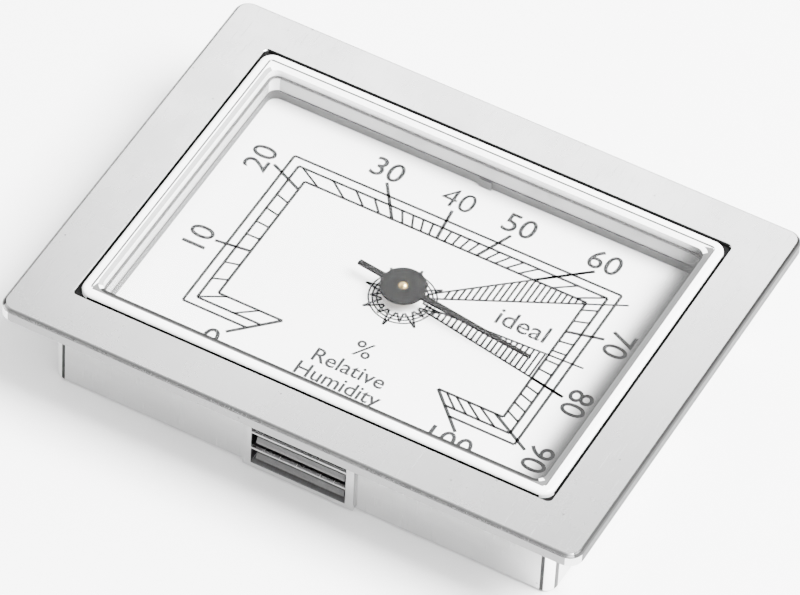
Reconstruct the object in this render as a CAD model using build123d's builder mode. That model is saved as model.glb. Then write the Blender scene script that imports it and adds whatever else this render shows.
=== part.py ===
"""Dial hygrometer: a rectangular panel instrument with a humidity coil movement.

Units are millimetres. +Z points out of the dial, +X to the dial's right and +Y to
the dial's top. The origin is the centre of the back, at the case's rear edge.
"""
import os
from math import sqrt

from build123d import *

os.makedirs("parts", exist_ok=True)

# ------------------------------------------------------------------ driving sizes
bezel_width = 62.0
bezel_depth = 47.3
bezel_thickness = 1.5
bezel_corner_radius = 1.5
bezel_edge_bevel = 0.3

case_height = 10.0            # from the rear edge to the bezel's underside
case_inset_x = 4.0            # bezel overhang beyond the case, left and right
case_inset_y = 3.85           # bezel overhang beyond the case, top and bottom
case_wall = 1.15
case_corner_radius = 1.3
case_foot_radius = 0.3
least_corner_radius = 0.15    # inside corner of the case, when its wall is thick
rebate_depth = 0.5            # how far the case's rim enters the bezel
window_lip = 0.25             # bezel overhang inside the case wall, left and right
window_corner_radius = 0.5

crystal_gap = 0.3             # open line between the crystal and the bezel
crystal_proud = 0.3
crystal_plate = 1.05
crystal_skirt = 1.55
crystal_corner_radius = 1.3
crystal_edge_radius = 0.25
crystal_rib_length = 4.0
crystal_rib_height = 0.8
sight_corner_radius = 1.0
seal_recess = 0.35            # sealing bead below the bezel's face

dial_depth = 4.0              # from the bezel's face down to the dial's face
dial_card_thickness = 0.3
mounting_plate_thickness = 0.6
plate_corner_radius = 0.5
surround_height = 1.14
surround_nib_width = 1.4
surround_nib_reach = 0.25
ledge_width = 1.5
ledge_height = 1.0
ledge_corner_radius = 1.0

pointer_rise = 1.5            # from the dial's face to the pointer's underside
pointer_thickness = 0.3
pointer_hub_radius = 2.3
pointer_length = 14.8
pointer_tail_length = 5.2
pointer_root_width = 0.7
pointer_tip_width = 0.3
pointer_tail_width = 0.55
pointer_rest_angle = -7.0     # counterclockwise from +X, near 79 % on the dial

arbor_radius = 0.5
arbor_dome_height = 0.3
pivot_radius = 0.25
pivot_length = 1.0
pointer_collet_radius = 0.85
front_bushing_radius = 0.9
front_bushing_stand = 0.4     # how far the bushing stands above the dial's face
bushing_flange_radius = 1.8
bushing_flange_thickness = 0.4

cover_thickness = 1.0
cover_corner_radius = 0.3
cover_vent_length = 12.0
cover_vent_width = 5.0
cover_vent_corner = 0.8
cover_vent_x = 15.5           # vent centres, from the middle of the cover
cover_vent_y = 6.5

boss_radius = 2.0
boss_corner_offset = 1.85     # boss axis from each inner wall
cover_screw_radius = 0.7
cover_screw_length = 4.0
cover_screw_head_radius = 1.4
cover_screw_head_height = 0.45
screw_slot_width = 0.35
screw_slot_depth = 0.2

bridge_level = 1.6            # underside of the bridge
bridge_thickness = 0.8
bridge_width = 6.0
pillar_offset = 10.5
pillar_radius = 1.5
bridge_screw_radius = 0.5
bridge_screw_head_radius = 1.1
bridge_screw_head_height = 0.4

adjuster_recess = 0.3         # adjuster head below the rear face
adjuster_head_radius = 2.3
adjuster_stem_radius = 1.5
adjuster_slot_width = 0.6
adjuster_slot_depth = 0.45
washer_height = 0.2
washer_metal = 0.1
washer_radius = 2.1

arm_thickness = 0.5
arm_width = 1.6
arm_hub_radius = 2.4
stem_stand = 0.25             # adjuster stem above the arm
anchor_post_radius = 0.6

coil_collet_radius = 1.1
coil_thickness = 0.25
coil_pitch = 0.85
coil_half_turns = 13           # odd, so that the coil ends on the anchor's side
coil_headroom = 0.6           # from the collet's top to the mounting plate
coil_inset = 0.1              # coil edge inside the collet's ends

vent_block_width = 12.0
vent_block_proud = 0.45
vent_opening_width = 10.2
vent_opening_base = 0.75      # lowest slot edge above the rear edge
vent_slot_pitch = 2.2
vent_bar = 0.3
vent_rim = 0.3                # plug wall around the slots
vent_end_land = 1.1           # height of wall kept clear of slots
louvre_thickness = 0.3
louvre_front = 0.45           # louvre's outer edge behind the block's face
louvre_back = 1.3
louvre_drop = 0.62            # share of a slot's height that a louvre covers
side_vent_offset = 10.3       # side vents sit towards the dial's top

# ----------------------------------------------------------------- named clearances
fit_gap = 0.02                # between bonded, pressed or screwed pieces
drop_gap = 0.1                # between a plate and the walls it drops between
running_gap = 0.05            # radial, shaft in bearing, and axial between turning faces
screw_clearance = 0.15
adjuster_clearance = 0.2

# ------------------------------------------------------------------ worked-out sizes
case_width = bezel_width - 2 * case_inset_x
case_depth = bezel_depth - 2 * case_inset_y
inner_width = case_width - 2 * case_wall
inner_depth = case_depth - 2 * case_wall
inner_corner_radius = max(case_corner_radius - case_wall, least_corner_radius)

plate_width = inner_width - 2 * drop_gap    # card, plate and cover share one outline
plate_depth = inner_depth - 2 * drop_gap

window_width = inner_width - 2 * window_lip
window_depth = inner_depth
crystal_width = window_width - 2 * crystal_gap
crystal_depth = window_depth - 2 * crystal_gap
sight_width = crystal_width - 2 * crystal_skirt
sight_depth = crystal_depth - 2 * crystal_skirt

bezel_top = case_height + bezel_thickness
crystal_top = bezel_top + crystal_proud
dial_face = bezel_top - dial_depth
dial_back = dial_face - dial_card_thickness
plate_underside = dial_back - mounting_plate_thickness
surround_top = dial_face + surround_height
pointer_underside = dial_face + pointer_rise
pointer_top = pointer_underside + pointer_thickness
bushing_top = dial_face + front_bushing_stand

bridge_top = bridge_level + bridge_thickness
adjuster_shoulder = bridge_level - washer_height - fit_gap
arm_underside = bridge_top + running_gap
arm_top = arm_underside + arm_thickness
stem_top = arm_top + stem_stand
arbor_shoulder = stem_top + running_gap
pivot_end = arbor_shoulder - pivot_length
coil_collet_base = stem_top + 3 * running_gap
coil_collet_top = plate_underside - coil_headroom
coil_base = coil_collet_base + coil_inset
coil_top = coil_collet_top - coil_inset

coil_start_radius = coil_collet_radius + fit_gap + coil_thickness / 2
coil_end_radius = coil_start_radius + (coil_half_turns - 1) * coil_pitch / 2
anchor_post_offset = coil_end_radius + coil_thickness / 2 + fit_gap + anchor_post_radius

boss_x = inner_width / 2 - boss_corner_offset
boss_y = inner_depth / 2 - boss_corner_offset

vent_slot_height = vent_slot_pitch - vent_bar
vent_slot_count = int((case_height - vent_end_land) // vent_slot_pitch)
vent_opening_height = vent_slot_count * vent_slot_pitch - vent_bar
vent_opening_middle = vent_opening_base + vent_opening_height / 2
vent_window_width = vent_opening_width + 2 * vent_rim
vent_window_height = vent_opening_height + 2 * vent_rim


def wall_plane(side, along):
    """Plane on the outer face of one case wall, its local y pointing up."""
    planes = {
        "front": Plane((along, -case_depth / 2, 0), x_dir=(1, 0, 0), z_dir=(0, -1, 0)),
        "back": Plane((along, case_depth / 2, 0), x_dir=(-1, 0, 0), z_dir=(0, 1, 0)),
        "right": Plane((case_width / 2, along, 0), x_dir=(0, 1, 0), z_dir=(1, 0, 0)),
        "left": Plane((-case_width / 2, along, 0), x_dir=(0, -1, 0), z_dir=(-1, 0, 0)),
    }
    return planes[side]


vent_places = {
    "front": 0.0,
    "back": 0.0,
    "right": side_vent_offset,
    "left": side_vent_offset,
}

# ------------------------------------------------------------------------ bezel
with BuildPart() as bezel_frame:
    with BuildSketch(Plane.XY.offset(case_height)):
        RectangleRounded(bezel_width, bezel_depth, bezel_corner_radius)
    extrude(amount=bezel_thickness)
    chamfer(bezel_frame.faces().sort_by(Axis.Z)[-1].edges(), bezel_edge_bevel)
    with BuildSketch(Plane.XY.offset(case_height)):
        RectangleRounded(window_width, window_depth, window_corner_radius)
    extrude(amount=bezel_thickness, mode=Mode.SUBTRACT)
    with BuildSketch(Plane.XY.offset(case_height)):
        RectangleRounded(
            case_width + 2 * fit_gap, case_depth + 2 * fit_gap, case_corner_radius + fit_gap
        )
    extrude(amount=rebate_depth, mode=Mode.SUBTRACT)
    # Notches that keep the seating face clear of the raised vent blocks.
    for side, along in vent_places.items():
        with BuildSketch(wall_plane(side, along)):
            with Locations((0, case_height + rebate_depth / 2)):
                Rectangle(vent_block_width + 2 * drop_gap, rebate_depth)
        extrude(amount=vent_block_proud + drop_gap, mode=Mode.SUBTRACT)
bezel_frame.part.label = "bezel_frame"
export_step(bezel_frame.part, "parts/bezel_frame.step")

# ------------------------------------------------------------------------- case
with BuildPart() as case_box:
    with BuildSketch(Plane.XY):
        RectangleRounded(case_width, case_depth, case_corner_radius)
    extrude(amount=case_height + rebate_depth)
    fillet(case_box.faces().sort_by(Axis.Z)[0].edges(), case_foot_radius)
    with BuildSketch(Plane.XY):
        RectangleRounded(inner_width, inner_depth, inner_corner_radius)
    extrude(amount=case_height + rebate_depth, mode=Mode.SUBTRACT)
    # Ledge that carries the mounting plate.
    with BuildSketch(Plane.XY.offset(plate_underside - ledge_height)):
        Rectangle(inner_width + case_wall, inner_depth + case_wall)
        RectangleRounded(
            inner_width - 2 * ledge_width,
            inner_depth - 2 * ledge_width,
            ledge_corner_radius,
            mode=Mode.SUBTRACT,
        )
    extrude(amount=ledge_height)
    # Screw bosses for the back cover, one in each corner.
    with BuildSketch(Plane.XY.offset(cover_thickness)):
        with GridLocations(2 * boss_x, 2 * boss_y, 2, 2):
            Circle(boss_radius)
    extrude(amount=plate_underside - cover_thickness)
    with Locations(Plane.XY.offset(cover_thickness)):
        with GridLocations(2 * boss_x, 2 * boss_y, 2, 2):
            Cylinder(
                cover_screw_radius + fit_gap,
                cover_screw_length,
                align=(Align.CENTER, Align.CENTER, Align.MIN),
                mode=Mode.SUBTRACT,
            )
    # One window in each wall for a vent grille.
    for side, along in vent_places.items():
        with BuildSketch(wall_plane(side, along)):
            with Locations((0, vent_opening_middle)):
                Rectangle(vent_window_width, vent_window_height)
        extrude(amount=-case_wall, mode=Mode.SUBTRACT)
case_box.part.label = "case_box"
export_step(case_box.part, "parts/case_box.step")

# ----------------------------------------------------------------- vent grilles
for side, along in vent_places.items():
    face_plane = wall_plane(side, along)
    louvre_plane = Plane(
        face_plane.origin, x_dir=face_plane.z_dir, z_dir=-face_plane.x_dir
    )
    with BuildPart() as vent_grille:
        with BuildSketch(face_plane):
            with Locations((0, case_height / 2)):
                Rectangle(vent_block_width, case_height - 2 * drop_gap)
        extrude(amount=vent_block_proud)
        with BuildSketch(face_plane):
            with Locations((0, vent_opening_middle)):
                Rectangle(vent_window_width - 2 * fit_gap, vent_window_height - 2 * fit_gap)
        extrude(amount=-case_wall)
        first_slot = vent_opening_base + vent_slot_height / 2
        with BuildSketch(face_plane.offset(vent_block_proud)):
            for slot in range(vent_slot_count):
                with Locations((0, first_slot + slot * vent_slot_pitch)):
                    Rectangle(vent_opening_width, vent_slot_height)
        extrude(amount=-(vent_block_proud + case_wall), mode=Mode.SUBTRACT)
        # Louvres slope outwards and down, one in each slot.
        with BuildSketch(louvre_plane):
            for slot in range(vent_slot_count):
                slot_top = vent_opening_base + slot * vent_slot_pitch + vent_slot_height
                louvre_foot = slot_top - louvre_drop * vent_slot_height
                outer = vent_block_proud - louvre_front
                inner = vent_block_proud - louvre_back
                with BuildLine():
                    Polyline(
                        (inner, slot_top),
                        (outer, louvre_foot),
                        (outer, louvre_foot + louvre_thickness),
                        (inner + louvre_thickness, slot_top),
                        close=True,
                    )
                make_face()
        extrude(amount=vent_opening_width / 2, both=True)
    vent_grille.part.label = f"vent_grille_{side}"
    export_step(vent_grille.part, f"parts/vent_grille_{side}.step")

# ---------------------------------------------------------------------- crystal
with BuildPart() as crystal_window:
    with BuildSketch(Plane.XY.offset(surround_top)):
        RectangleRounded(crystal_width, crystal_depth, crystal_corner_radius)
    extrude(amount=crystal_top - surround_top)
    fillet(crystal_window.faces().sort_by(Axis.Z)[-1].edges(), crystal_edge_radius)
    with BuildSketch(Plane.XY.offset(surround_top)):
        RectangleRounded(sight_width, sight_depth, sight_corner_radius)
    extrude(amount=crystal_top - crystal_plate - surround_top, mode=Mode.SUBTRACT)
    # Ribs that centre the skirt between the case walls.
    rib_span_x = inner_width - 2 * fit_gap
    rib_span_y = inner_depth - 2 * fit_gap
    with BuildSketch(Plane.XY.offset(surround_top)):
        with Locations((-crystal_width / 4, 0), (crystal_width / 4, 0)):
            Rectangle(crystal_rib_length, rib_span_y)
        with Locations((0, -crystal_depth / 4), (0, crystal_depth / 4)):
            Rectangle(rib_span_x, crystal_rib_length)
        RectangleRounded(sight_width, sight_depth, sight_corner_radius, mode=Mode.SUBTRACT)
    extrude(amount=crystal_rib_height)
crystal_window.part.label = "crystal_window"
export_step(crystal_window.part, "parts/crystal_window.step")

# ----------------------------------------------------------------- crystal seal
# A black bead between the crystal and the bezel's window.
with BuildPart() as crystal_seal:
    seal_base = surround_top + crystal_rib_height + fit_gap
    with BuildSketch(Plane.XY.offset(seal_base)):
        RectangleRounded(
            window_width - 2 * fit_gap, window_depth - 2 * fit_gap, window_corner_radius
        )
        RectangleRounded(
            crystal_width + 2 * fit_gap,
            crystal_depth + 2 * fit_gap,
            crystal_corner_radius + fit_gap,
            mode=Mode.SUBTRACT,
        )
    extrude(amount=bezel_top - seal_recess - seal_base)
crystal_seal.part.label = "crystal_seal"
export_step(crystal_seal.part, "parts/crystal_seal.step")

# ---------------------------------------------------------------- dial surround
with BuildPart() as dial_surround:
    with BuildSketch(Plane.XY.offset(dial_face)):
        RectangleRounded(plate_width, plate_depth, crystal_corner_radius)
        RectangleRounded(sight_width, sight_depth, sight_corner_radius, mode=Mode.SUBTRACT)
        with Locations((0, sight_depth / 2)):
            Rectangle(surround_nib_width, 2 * surround_nib_reach)
    extrude(amount=surround_height)
dial_surround.part.label = "dial_surround"
export_step(dial_surround.part, "parts/dial_surround.step")

# ------------------------------------------------------- dial and mounting plate
with BuildPart() as dial_card:
    with BuildSketch(Plane.XY.offset(dial_back)):
        RectangleRounded(plate_width, plate_depth, plate_corner_radius)
        Circle(front_bushing_radius + fit_gap, mode=Mode.SUBTRACT)
    extrude(amount=dial_card_thickness)
dial_card.part.label = "dial_card"
export_step(dial_card.part, "parts/dial_card.step")

with BuildPart() as mounting_plate:
    with BuildSketch(Plane.XY.offset(plate_underside)):
        RectangleRounded(plate_width, plate_depth, plate_corner_radius)
        Circle(front_bushing_radius + fit_gap, mode=Mode.SUBTRACT)
        with Locations((-pillar_offset, 0), (pillar_offset, 0)):
            Circle(bridge_screw_radius + fit_gap, mode=Mode.SUBTRACT)
    extrude(amount=mounting_plate_thickness)
mounting_plate.part.label = "mounting_plate"
export_step(mounting_plate.part, "parts/mounting_plate.step")

with BuildPart() as front_bushing:
    with BuildSketch(Plane.XY.offset(plate_underside - bushing_flange_thickness)):
        Circle(bushing_flange_radius)
    extrude(amount=bushing_flange_thickness)
    with BuildSketch(Plane.XY.offset(plate_underside)):
        Circle(front_bushing_radius)
    extrude(amount=bushing_top - plate_underside)
    with BuildSketch(Plane.XY.offset(plate_underside - bushing_flange_thickness)):
        Circle(arbor_radius + running_gap)
    extrude(amount=bushing_top - plate_underside + bushing_flange_thickness, mode=Mode.SUBTRACT)
front_bushing.part.label = "front_bushing"
export_step(front_bushing.part, "parts/front_bushing.step")

# ----------------------------------------------------- pointer and its collet
with BuildPart() as pointer:
    pointer_plane = Plane.XY.offset(pointer_underside).rotated((0, 0, pointer_rest_angle))
    with BuildSketch(pointer_plane):
        Circle(pointer_hub_radius)
        with BuildLine():
            Polyline(
                (0, -pointer_root_width / 2),
                (pointer_length, -pointer_tip_width / 2),
                (pointer_length, pointer_tip_width / 2),
                (0, pointer_root_width / 2),
                close=True,
            )
        make_face()
        with Locations((-pointer_tail_length / 2, 0)):
            Rectangle(pointer_tail_length, pointer_tail_width)
        Circle(arbor_radius, mode=Mode.SUBTRACT)
    extrude(amount=pointer_thickness)
pointer.part.label = "pointer"
export_step(pointer.part, "parts/pointer.step")

with BuildPart() as pointer_collet:
    with BuildSketch(Plane.XY.offset(bushing_top + running_gap)):
        Circle(pointer_collet_radius)
        Circle(arbor_radius, mode=Mode.SUBTRACT)
    extrude(amount=pointer_underside - bushing_top - running_gap)
pointer_collet.part.label = "pointer_collet"
export_step(pointer_collet.part, "parts/pointer_collet.step")

# ------------------------------------------------------------------------ arbor
with BuildPart() as pointer_arbor:
    dome_radius = (arbor_radius**2 + arbor_dome_height**2) / (2 * arbor_dome_height)
    dome_centre = pointer_top + arbor_dome_height - dome_radius
    with BuildSketch(Plane.XZ):
        with BuildLine():
            Polyline(
                (0, pointer_top + arbor_dome_height),
                (0, pivot_end),
                (pivot_radius, pivot_end),
                (pivot_radius, arbor_shoulder),
                (arbor_radius, arbor_shoulder),
                (arbor_radius, pointer_top),
            )
            ThreePointArc(
                (arbor_radius, pointer_top),
                (arbor_radius / 2, dome_centre + sqrt(dome_radius**2 - arbor_radius**2 / 4)),
                (0, pointer_top + arbor_dome_height),
            )
        make_face()
    revolve(axis=Axis.Z)
pointer_arbor.part.label = "pointer_arbor"
export_step(pointer_arbor.part, "parts/pointer_arbor.step")

with BuildPart() as coil_collet:
    with BuildSketch(Plane.XY.offset(coil_collet_base)):
        Circle(coil_collet_radius)
        Circle(arbor_radius, mode=Mode.SUBTRACT)
    extrude(amount=coil_collet_top - coil_collet_base)
coil_collet.part.label = "coil_collet"
export_step(coil_collet.part, "parts/coil_collet.step")

# ---------------------------------------------------------------- humidity coil
# The spiral is a chain of half circles. Each is half a pitch larger than the one
# before, and its centre steps to the other of two points so that the ends meet.
with BuildPart() as humidity_coil:
    with BuildSketch(Plane.XY.offset(coil_base)):
        with BuildLine():
            for edge_offset in (-coil_thickness / 2, coil_thickness / 2):
                for half_turn in range(coil_half_turns):
                    radius = coil_start_radius + half_turn * coil_pitch / 2 + edge_offset
                    heading = 1 if half_turn % 2 == 0 else -1
                    centre_x = 0 if half_turn % 2 == 0 else coil_pitch / 2
                    ThreePointArc(
                        (centre_x + heading * radius, 0),
                        (centre_x, heading * radius),
                        (centre_x - heading * radius, 0),
                    )
            for radius, centre_x, heading in (
                (coil_start_radius, 0, 1),
                (coil_end_radius, 0, -1),
            ):
                Line(
                    (centre_x + heading * (radius - coil_thickness / 2), 0),
                    (centre_x + heading * (radius + coil_thickness / 2), 0),
                )
        make_face()
    extrude(amount=coil_top - coil_base)
humidity_coil.part.label = "humidity_coil"
export_step(humidity_coil.part, "parts/humidity_coil.step")

# ------------------------------------------------- anchor post and regulator arm
with BuildPart() as coil_anchor_post:
    with BuildSketch(Plane.XY.offset(arm_top)):
        with Locations((-anchor_post_offset, 0)):
            Circle(anchor_post_radius)
    extrude(amount=coil_top - arm_top)
coil_anchor_post.part.label = "coil_anchor_post"
export_step(coil_anchor_post.part, "parts/coil_anchor_post.step")

with BuildPart() as regulator_arm:
    with BuildSketch(Plane.XY.offset(arm_underside)):
        Circle(arm_hub_radius)
        with Locations((-anchor_post_offset / 2, 0)):
            Rectangle(anchor_post_offset, arm_width)
        with Locations((-anchor_post_offset, 0)):
            Circle(arm_width / 2)
        Circle(adjuster_stem_radius, mode=Mode.SUBTRACT)
    extrude(amount=arm_thickness)
regulator_arm.part.label = "regulator_arm"
export_step(regulator_arm.part, "parts/regulator_arm.step")

# ------------------------------------------------- adjuster and friction washer
with BuildPart() as calibration_adjuster:
    with BuildSketch(Plane.XY.offset(adjuster_recess)):
        Circle(adjuster_head_radius)
    extrude(amount=adjuster_shoulder - adjuster_recess)
    with BuildSketch(Plane.XY.offset(adjuster_shoulder)):
        Circle(adjuster_stem_radius)
    extrude(amount=stem_top - adjuster_shoulder)
    with BuildSketch(Plane.XY.offset(adjuster_recess)):
        Rectangle(2 * adjuster_head_radius, adjuster_slot_width)
    extrude(amount=adjuster_slot_depth, mode=Mode.SUBTRACT)
    # Blind bearing for the arbor's rear pivot.
    with BuildSketch(Plane.XY.offset(stem_top)):
        Circle(pivot_radius + running_gap)
    extrude(amount=-(stem_top - pivot_end + running_gap), mode=Mode.SUBTRACT)
calibration_adjuster.part.label = "calibration_adjuster"
export_step(calibration_adjuster.part, "parts/calibration_adjuster.step")

with BuildPart() as friction_washer:
    washer_bore = adjuster_stem_radius + 2 * running_gap
    washer_base = adjuster_shoulder + fit_gap
    with BuildSketch(Plane.XZ):
        with BuildLine():
            Polyline(
                (washer_bore, washer_base + washer_height - washer_metal),
                (washer_bore, washer_base + washer_height),
                (washer_radius, washer_base + washer_metal),
                (washer_radius, washer_base),
                close=True,
            )
        make_face()
    revolve(axis=Axis.Z)
friction_washer.part.label = "friction_washer"
export_step(friction_washer.part, "parts/friction_washer.step")

# ------------------------------------------------------ bridge, pillars, screws
with BuildPart() as movement_bridge:
    with BuildSketch(Plane.XY.offset(bridge_level)):
        SlotOverall(2 * pillar_offset + bridge_width, bridge_width)
        Circle(adjuster_stem_radius + running_gap, mode=Mode.SUBTRACT)
        with Locations((-pillar_offset, 0), (pillar_offset, 0)):
            Circle(bridge_screw_radius + fit_gap, mode=Mode.SUBTRACT)
    extrude(amount=bridge_thickness)
movement_bridge.part.label = "movement_bridge"
export_step(movement_bridge.part, "parts/movement_bridge.step")

with BuildPart() as bridge_pillars:
    with BuildSketch(Plane.XY.offset(bridge_top)):
        with Locations((-pillar_offset, 0), (pillar_offset, 0)):
            Circle(pillar_radius)
            Circle(bridge_screw_radius + fit_gap, mode=Mode.SUBTRACT)
    extrude(amount=plate_underside - bridge_top)
bridge_pillars.part.label = "bridge_pillars"
export_step(bridge_pillars.part, "parts/bridge_pillars.step")

with BuildPart() as bridge_screws:
    bridge_screw_base = bridge_level - bridge_screw_head_height
    with BuildSketch(Plane.XY.offset(bridge_screw_base)):
        with Locations((-pillar_offset, 0), (pillar_offset, 0)):
            Circle(bridge_screw_head_radius)
    extrude(amount=bridge_screw_head_height)
    with BuildSketch(Plane.XY.offset(bridge_level)):
        with Locations((-pillar_offset, 0), (pillar_offset, 0)):
            Circle(bridge_screw_radius)
    extrude(amount=dial_back - bridge_level)
    with BuildSketch(Plane.XY.offset(bridge_screw_base)):
        with Locations((-pillar_offset, 0), (pillar_offset, 0)):
            Rectangle(2 * bridge_screw_head_radius, screw_slot_width)
    extrude(amount=screw_slot_depth, mode=Mode.SUBTRACT)
bridge_screws.part.label = "bridge_screws"
export_step(bridge_screws.part, "parts/bridge_screws.step")

# ------------------------------------------------------- back cover and screws
with BuildPart() as back_cover:
    with BuildSketch(Plane.XY):
        RectangleRounded(plate_width, plate_depth, cover_corner_radius)
        Circle(adjuster_head_radius + adjuster_clearance, mode=Mode.SUBTRACT)
        with GridLocations(2 * cover_vent_x, 2 * cover_vent_y, 2, 2):
            RectangleRounded(
                cover_vent_length, cover_vent_width, cover_vent_corner, mode=Mode.SUBTRACT
            )
    extrude(amount=cover_thickness)
    with Locations(Plane.XY.rotated((180, 0, 0))):
        with GridLocations(2 * boss_x, 2 * boss_y, 2, 2):
            CounterBoreHole(
                cover_screw_radius + screw_clearance,
                cover_screw_head_radius + screw_clearance,
                cover_screw_head_height + fit_gap,
                depth=cover_thickness,
            )
back_cover.part.label = "back_cover"
export_step(back_cover.part, "parts/back_cover.step")

with BuildPart() as cover_screws:
    head_base = fit_gap
    with BuildSketch(Plane.XY.offset(head_base)):
        with GridLocations(2 * boss_x, 2 * boss_y, 2, 2):
            Circle(cover_screw_head_radius)
    extrude(amount=cover_screw_head_height)
    with BuildSketch(Plane.XY.offset(head_base + cover_screw_head_height)):
        with GridLocations(2 * boss_x, 2 * boss_y, 2, 2):
            Circle(cover_screw_radius)
    shank_top = cover_thickness + cover_screw_length - 2 * drop_gap
    extrude(amount=shank_top - head_base - cover_screw_head_height)
    with BuildSketch(Plane.XY.offset(head_base)):
        with GridLocations(2 * boss_x, 2 * boss_y, 2, 2):
            Rectangle(2 * cover_screw_head_radius, screw_slot_width)
    extrude(amount=screw_slot_depth, mode=Mode.SUBTRACT)
cover_screws.part.label = "cover_screws"
export_step(cover_screws.part, "parts/cover_screws.step")
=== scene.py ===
# %% [markdown]
# # A rectangular dial hygrometer
# This instrument tells how damp the air is. A flat chrome bezel sits on a shallow case with a
# vent in each wall, and a clear crystal covers a printed card. Behind the card, a coil of bronze
# strip with a damp-sensitive film turns a balanced pointer. The working frame is loaded ready
# made, and each cell below gives one piece its real shape or its finish.

# %% Load the frame
from math import atan2, cos, degrees, pi, radians, sin, tan

import bmesh
import bpy
from mathutils import Matrix, Vector


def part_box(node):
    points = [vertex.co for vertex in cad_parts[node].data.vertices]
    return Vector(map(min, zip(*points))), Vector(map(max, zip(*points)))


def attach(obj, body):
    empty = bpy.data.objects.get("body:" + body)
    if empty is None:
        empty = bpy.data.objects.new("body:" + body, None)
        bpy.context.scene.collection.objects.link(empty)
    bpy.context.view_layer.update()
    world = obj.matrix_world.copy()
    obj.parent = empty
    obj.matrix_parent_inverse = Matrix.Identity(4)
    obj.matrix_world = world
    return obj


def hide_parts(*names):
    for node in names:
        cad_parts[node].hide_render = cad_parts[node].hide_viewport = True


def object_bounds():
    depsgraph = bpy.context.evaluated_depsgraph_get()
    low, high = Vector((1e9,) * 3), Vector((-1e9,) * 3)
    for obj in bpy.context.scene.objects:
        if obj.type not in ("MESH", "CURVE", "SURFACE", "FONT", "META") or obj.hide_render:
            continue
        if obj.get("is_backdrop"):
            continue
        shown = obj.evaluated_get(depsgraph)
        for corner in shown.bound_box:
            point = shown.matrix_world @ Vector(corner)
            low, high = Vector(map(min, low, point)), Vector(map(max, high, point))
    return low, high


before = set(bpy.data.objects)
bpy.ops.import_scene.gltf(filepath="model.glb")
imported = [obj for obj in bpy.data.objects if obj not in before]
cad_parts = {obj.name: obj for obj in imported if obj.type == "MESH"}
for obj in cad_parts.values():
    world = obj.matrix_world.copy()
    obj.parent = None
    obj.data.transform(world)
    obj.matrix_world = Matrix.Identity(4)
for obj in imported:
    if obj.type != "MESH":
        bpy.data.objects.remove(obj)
cad_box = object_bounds()
MM = 0.001


def new_object(name, data):
    piece = bpy.data.objects.new(name, data)
    bpy.context.scene.collection.objects.link(piece)
    return piece


# %% [markdown]
# ## The camera
# A long lens far away keeps the bezel's edges nearly parallel. The camera is placed by the point
# it looks at, two angles and a distance, and then rolled a little.

# %% Camera
aim = Vector((1.357, -3.342, 11.5)) * MM
azimuth, elevation, roll = radians(26.19), radians(47.92), radians(-3.35)
camera_distance = 0.70816

towards_camera = Vector((
    cos(elevation) * sin(azimuth),
    -cos(elevation) * cos(azimuth),
    sin(elevation),
))
camera_turn = towards_camera.to_track_quat("Z", "Y").to_matrix() @ Matrix.Rotation(-roll, 3, "Z")
camera_data = bpy.data.cameras.new("camera")
camera_data.lens = 336.26
camera_data.sensor_width = 36
camera_data.clip_start = 0.01
camera = new_object("camera", camera_data)
camera.matrix_world = Matrix.Translation(aim + towards_camera * camera_distance) @ camera_turn.to_4x4()
bpy.context.scene.camera = camera

# %% [markdown]
# ## Sums and nodes
# A finish is a small network of nodes, and so is a Geometry Nodes tree. Both are easier to read
# as sums, so one class wraps a socket and turns + - * into Math nodes, and one method adds any
# other node from its type, its settings and its inputs.

# %% Node networks
class Value:
    """An output socket that can stand in an ordinary sum."""

    def __init__(self, network, socket):
        self.network, self.socket = network, socket

    def maths(self, operation, *others):
        return self.network.node(
            "ShaderNodeMath", {"operation": operation}, dict(enumerate((self, *others)))
        )

    def __add__(self, other):
        return self.maths("ADD", other)

    def __mul__(self, other):
        return self.maths("MULTIPLY", other)

    def __sub__(self, other):
        return self.maths("SUBTRACT", other)

    def __rsub__(self, other):
        settings = {"operation": "SUBTRACT"}
        return self.network.node("ShaderNodeMath", settings, {0: other, 1: self})

    __radd__ = __add__
    __rmul__ = __mul__


class Network:
    """A node tree under construction."""

    def __init__(self, tree):
        self.tree = tree

    def node(self, kind, settings=None, inputs=None, output=0):
        """Adds one node: settings first, then inputs, and gives one of its outputs."""
        node = self.tree.nodes.new(kind)
        for key, setting in (settings or {}).items():
            if key == "stops":
                ramp = node.color_ramp
                while len(ramp.elements) < len(setting):
                    ramp.elements.new(0.5)
                for element, (place, shade) in zip(ramp.elements, setting):
                    element.position = place
                    element.color = (shade, shade, shade, 1)
            else:
                setattr(node, key, setting)
        for key, given in (inputs or {}).items():
            if isinstance(given, Value):
                self.tree.links.new(given.socket, node.inputs[key])
            else:
                node.inputs[key].default_value = given
        return Value(self, node.outputs[output])


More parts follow.
